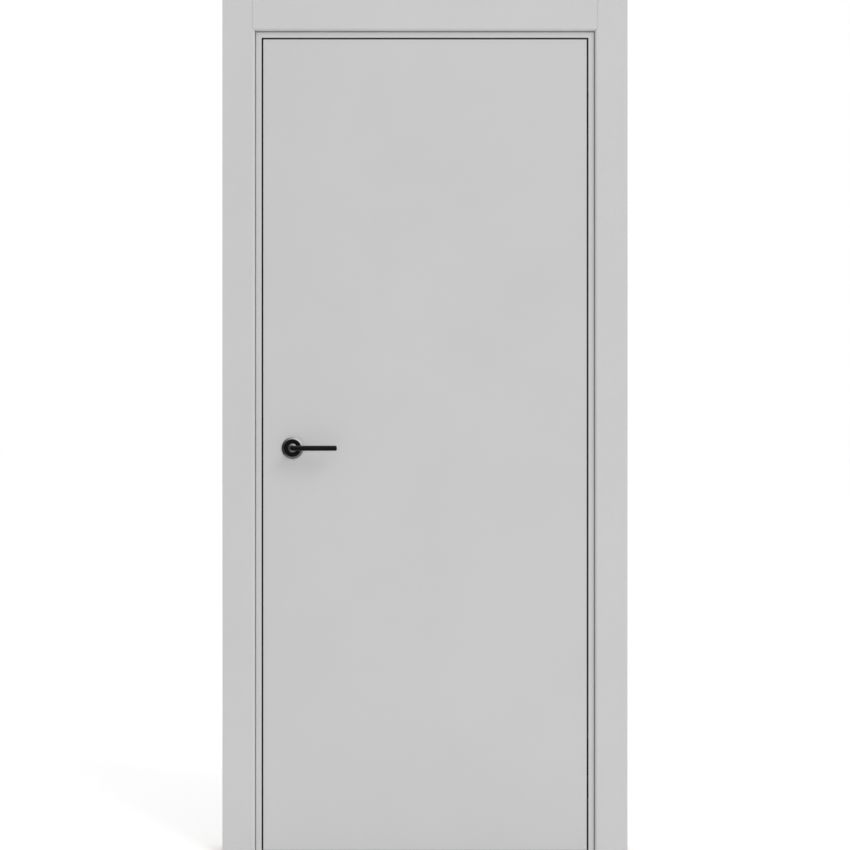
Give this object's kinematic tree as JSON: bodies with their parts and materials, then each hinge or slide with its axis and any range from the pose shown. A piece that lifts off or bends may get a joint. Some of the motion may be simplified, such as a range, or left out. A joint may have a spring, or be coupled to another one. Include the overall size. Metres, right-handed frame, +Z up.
{
  "type": "interior door",
  "caption": "Flush light grey interior door leaf hung in its frame on concealed hinges, with casings on both faces and a lever handle on round roses.",
  "frame": {"origin": "on the hinge jamb's outer face, at floor level, halfway through the frame's depth", "axes": "+X from the latch side to the hinge side, +Y from the pull side to the push side, +Z up"},
  "size_m": [0.996, 0.1448, 2.104],
  "materials": {
    "frame_enamel": "satin light grey enamel on timber board",
    "leaf_enamel": "satin light grey enamel on fibreboard",
    "core_board": "raw tubular core board",
    "black_edge": "matte black edge band",
    "seal_rubber": "matte black sealing lip",
    "polished_chrome": "polished",
    "black_lever": "satin black",
    "plain_steel": "zinc plated",
    "black_plate": "matte black",
    "hinge_metal": "satin black die casting"
  },
  "bodies": {
    "frame": {"hinge_jamb": "frame_enamel", "latch_jamb": "frame_enamel", "head_jamb": "frame_enamel", "seal_hinge_side": "seal_rubber", "seal_latch_side": "seal_rubber", "seal_head": "seal_rubber", "casing_pull_hinge": "frame_enamel", "casing_pull_latch": "frame_enamel", "casing_pull_head": "frame_enamel", "casing_push_hinge": "frame_enamel", "casing_push_latch": "frame_enamel", "casing_push_head": "frame_enamel", "strike_plate": "black_plate", "hinge_cup_jamb_lower": "hinge_metal", "hinge_cup_jamb_upper": "hinge_metal"},
    "hinge_centre_arms": {"hinge_arm_centre_lower": "hinge_metal", "hinge_arm_centre_upper": "hinge_metal"},
    "hinge_fork_arms": {"hinge_arm_fork_lower": "hinge_metal", "hinge_arm_fork_upper": "hinge_metal"},
    "leaf": {"leaf_core": "core_board", "leaf_skin_pull": "leaf_enamel", "leaf_skin_push": "leaf_enamel", "edge_band_hinge": "black_edge", "edge_band_latch": "black_edge", "edge_band_top": "black_edge", "edge_band_bottom": "black_edge", "latch_case": "plain_steel", "latch_forend": "black_plate", "latch_bolt": "black_plate", "hinge_cup_leaf_lower": "hinge_metal", "hinge_cup_leaf_upper": "hinge_metal", "rose_rim_pull": "polished_chrome", "rose_disc_pull": "black_lever", "rose_collar_pull": "polished_chrome", "rose_rim_push": "polished_chrome", "rose_disc_push": "black_lever", "rose_collar_push": "polished_chrome"},
    "lever": {"lever_pull": "black_lever", "lever_push": "black_lever", "spindle": "plain_steel"}
  },
  "joints": [
    {"name": "door_swing", "type": "hinge", "parent": "frame", "child": "leaf", "pos_m": [-0.04125, -0.0396, 0], "axis": [0, 0, 1], "range_deg": [0, 120]},
    {"name": "centre_arm_turn", "type": "hinge", "parent": "frame", "child": "hinge_centre_arms", "pos_m": [-0.03655, -0.0296, 0], "axis": [0, 0, 1], "range_deg": [0, 120]},
    {"name": "fork_arm_turn", "type": "hinge", "parent": "leaf", "child": "hinge_fork_arms", "pos_m": [-0.04595, -0.0296, 0], "axis": [0, 0, 1], "range_deg": [-120, 0]},
    {"name": "lever_turn", "type": "hinge", "parent": "leaf", "child": "lever", "pos_m": [-0.7685, -0.0175, 0.998], "axis": [0, 1, 0], "range_deg": [0, 45], "stiffness_Nm_per_rad": 1.5, "springref_deg": -22.92}
  ],
  "couplings": [
    {"joint": "centre_arm_turn", "follows": "door_swing", "ratio": 1},
    {"joint": "fork_arm_turn", "follows": "door_swing", "ratio": -1}
  ]
}
